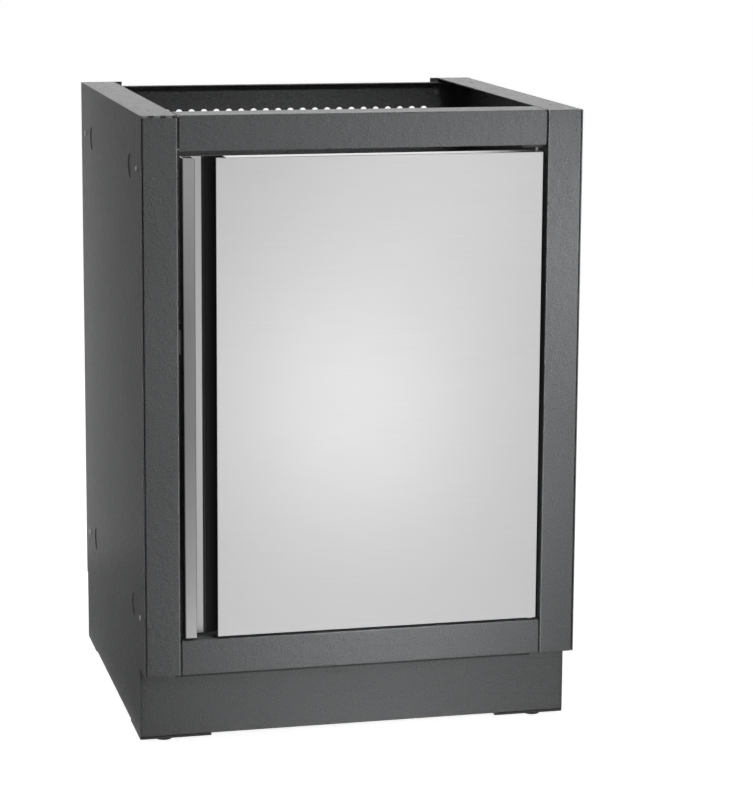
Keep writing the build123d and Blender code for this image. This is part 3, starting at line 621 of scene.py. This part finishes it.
# Distance in from the rim, height, and share of the flutes' depth
rim_profile = (
    (0.0008, 0, 0),
    (0.0003, 0.0002, 0.4),
    (0, 0.0007, 1),
    (0, 0.0024, 1),
    (0.0005, 0.0030, 0.5),
)
# Reach from the middle and height, from the rim up to the neck
shoulder_profile = ((0.0102, 0.0040), (0.0090, 0.0052))
# Reach from the middle, and distance down from the top, over the neck and into its bore
neck_profile = ((0.0090, 0.0004), (0.0086, 0), (0.00435, 0), (0.00405, 0.0003))
bore_radius = 0.00405
bore_floor = 0.0025
foot_nylon = finished(
    "foot_nylon",
    coat_effect,
    {"Colour": (0.014, 0.014, 0.015, 1), "Wrinkle Scale": 900, "Painted Glint And Pit Shade": 0.2, "Roughness": 0.5},
    bump_depth=0.00008,
)


def fluted_pad(name, low, high):
    """A pad between two corners of its box, turned from its profile and fluted round the rim."""
    middle = (Vector(low) + Vector(high)) / 2
    radius = (high[0] - low[0]) / 2
    top = high[2] - low[2]
    profile = [(reach, tread_depth * raised, 0) for reach, raised in tread_rings]
    profile += [(radius - inward, height, fluted) for inward, height, fluted in rim_profile]
    profile += [(reach, height, 0) for reach, height in shoulder_profile]
    profile += [(reach, top - down, 0) for reach, down in neck_profile]
    profile += [(bore_radius, bore_floor, 0)]
    rings = []
    for reach, height, fluted in profile:
        ring = []
        for side in range(pad_sides):
            angle = math.tau * side / pad_sides
            cut = reach - flute_depth * fluted * max(0, math.cos(pad_flutes * angle))
            ring.append(
                (
                    middle.x + cut * math.cos(angle),
                    middle.y + cut * math.sin(angle),
                    low[2] + height,
                )
            )
        rings.append(ring)
    first = (middle.x, middle.y, low[2] + tread_depth)
    last = (middle.x, middle.y, low[2] + bore_floor)
    return closed_skin(name, rings, first, last, foot_nylon)


for corner in corners:
    pad = fluted_pad(f"fluted_pad_{corner}", *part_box(f"foot_pad_{corner}"))
    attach(pad, f"foot_{corner}")
    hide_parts(f"foot_pad_{corner}")

# Door skin: 1.2 mm stainless steel sheet folded into a shallow tray. Its face is brushed from side
# to side with a fine, even grain.
brushed_door = finished(
    "brushed_door",
    grain_effect,
    {"Colour": (0.515, 0.515, 0.518, 1), "Stretch": (11, 1370, 1370), "Contrast": 0.03, "Roughness": 0.34},
    bump_depth=0.0000015,
    metallic=1,
)
dress(brushed_door, "door_skin")

# Grip rail: a hollow stainless rib down the door's free edge, with a base strip beside it. Both are
# brushed along their length, and painted shade makes the rib's face darker than the strip, most of all
# at mid height.
rib_face_end = -0.288
rib_side_start = -0.286
# Height in metres, and the share of the colour that the rib's face keeps there under the painted shade
rib_painted_shade = (
    (0.17, 1.0),
    (0.24, 0.79),
    (0.345, 0.58),
    (0.45, 0.45),
    (0.60, 0.45),
    (0.695, 0.57),
    (0.80, 0.74),
)
brushed_grip = finished(
    "brushed_grip",
    grain_effect,
    {"Colour": (0.385, 0.385, 0.385, 1), "Stretch": (1100, 1100, 5), "Contrast": 0.04, "Roughness": 0.34},
    bump_depth=0.00001,
    metallic=1,
)
tree = brushed_grip.node_tree
rib_colour = tree.nodes["Principled BSDF"].inputs["Base Color"]
place = tree.nodes.new("ShaderNodeSeparateXYZ")
tree.links.new(tree.nodes.new("ShaderNodeTexCoord").outputs["Object"], place.inputs["Vector"])
# Painted shade: the rib's face is darkened by a share that changes with height.
shade = tree.nodes.new("ShaderNodeValToRGB")
ramp = shade.color_ramp
while len(ramp.elements) < len(rib_painted_shade):
    ramp.elements.new(0.5)
for stop, (height, share) in zip(ramp.elements, rib_painted_shade):
    stop.position = height
    stop.color = (share, share, share, 1)
tree.links.new(place.outputs["Z"], shade.inputs["Fac"])
toned = tree.nodes.new("ShaderNodeMix")
toned.data_type = "RGBA"
toned.blend_type = "MULTIPLY"
rib_face = spread(tree, place.outputs["Y"], rib_face_end, rib_side_start, 1, 0)
tree.links.new(rib_face, toned.inputs["Factor"])
tree.links.new(rib_colour.links[0].from_socket, toned.inputs["A"])
tree.links.new(shade.outputs["Color"], toned.inputs["B"])
tree.links.new(toned.outputs["Result"], rib_colour)
dress(brushed_grip, "grip_rail")

# Grip insert and back strip: black plastic extrusions that line the finger recess. The insert runs
# in behind the door's face, and a painted highlight makes a rounded lip along its left edge show grey
# beside the rib.
lip_width = 0.0028
lip_highlight = 8
grip_black = finished(
    "grip_black",
    grain_effect,
    {"Colour": (0.004, 0.004, 0.004, 1), "Stretch": (700, 700, 4), "Contrast": 0.25, "Roughness": 0.5},
    bump_depth=0.00004,
    specular=0.25,
)
insert_low, insert_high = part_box("grip_insert")
# Painted highlight along the insert's rounded lip.
shade_box(grip_black, lip_highlight, across=(insert_low[0], insert_low[0] + lip_width))
dress(grip_black, "grip_insert", "grip_back_strip")

# Inner panel and edge strips: dull stainless sheet as it comes from the mill, spot-welded in to
# close the back of the door. The panel is painted black where it closes the recess.
paint_overlap = 0.002
paint_depth = (-0.3, -0.2655)
paint_shade = 0.02
mill_steel = finished(
    "mill_steel",
    grain_effect,
    {"Colour": (0.44, 0.44, 0.437, 1), "Stretch": (8, 1100, 1100), "Contrast": 0.05, "Roughness": 0.44},
    bump_depth=0.00001,
    metallic=1,
)
behind_recess = (insert_low[0], insert_high[0] + paint_overlap)
shade_box(mill_steel, paint_shade, across=behind_recess, deep=paint_depth)
dress(mill_steel, "door_inner_panel", "door_edge_strips")

# Hinges and strike plate: headed stainless pins go through the brackets into nylon bushes in the
# door, and a nylon washer takes its weight. The strike plate is riveted to the door's back.
hinge_steel = finished(
    "hinge_steel",
    grain_effect,
    {"Colour": (0.20, 0.20, 0.20, 1), "Stretch": (300, 300, 300), "Contrast": 0.08, "Roughness": 0.35},
    bump_depth=0.00003,
    metallic=1,
)
dress(hinge_steel, "top_hinge_pin", "bottom_hinge_pin", "strike_plate")
nylon = finished(
    "natural_nylon",
    coat_effect,
    {"Colour": (0.72, 0.70, 0.64, 1), "Wrinkle Scale": 420, "Painted Glint And Pit Shade": 0.05, "Roughness": 0.45},
    bump_depth=0.00004,
)
dress(nylon, "hinge_washer", "top_hinge_bush", "bottom_hinge_bush")

# Catch: a black moulded housing, screwed to the left post's inner return, holds a plated magnet
# that pulls the strike plate on the door.
catch_plastic = finished(
    "catch_plastic",
    coat_effect,
    {"Colour": (0.018, 0.018, 0.019, 1), "Wrinkle Scale": 1100, "Painted Glint And Pit Shade": 0.15, "Roughness": 0.48},
    bump_depth=0.00006,
)
dress(catch_plastic, "catch_housing")
magnet_steel = finished(
    "magnet_steel",
    grain_effect,
    {"Colour": (0.36, 0.36, 0.37, 1), "Stretch": (500, 500, 40), "Contrast": 0.12, "Roughness": 0.36},
    bump_depth=0.00003,
    metallic=1,
)
dress(magnet_steel, "catch_magnet")

# Screws, nuts and rivets: zinc-plated steel. The button-head screws in the side panels get a brighter
# metal, as a painted highlight where the dark card darkens their reflection.
dress(zinc, "back_panel_screws", "hinge_screws", "catch_screws", "strike_rivets", "side_screw_nuts")
side_screw_highlight = finished(
    "side_screw_highlight_metal",
    grain_effect,
    {"Colour": (0.72, 0.72, 0.71, 1), "Stretch": (260, 260, 260), "Contrast": 0.08, "Roughness": 0.28},
    bump_depth=0.00002,
    metallic=0.55,
)
dress(side_screw_highlight, "side_screws")
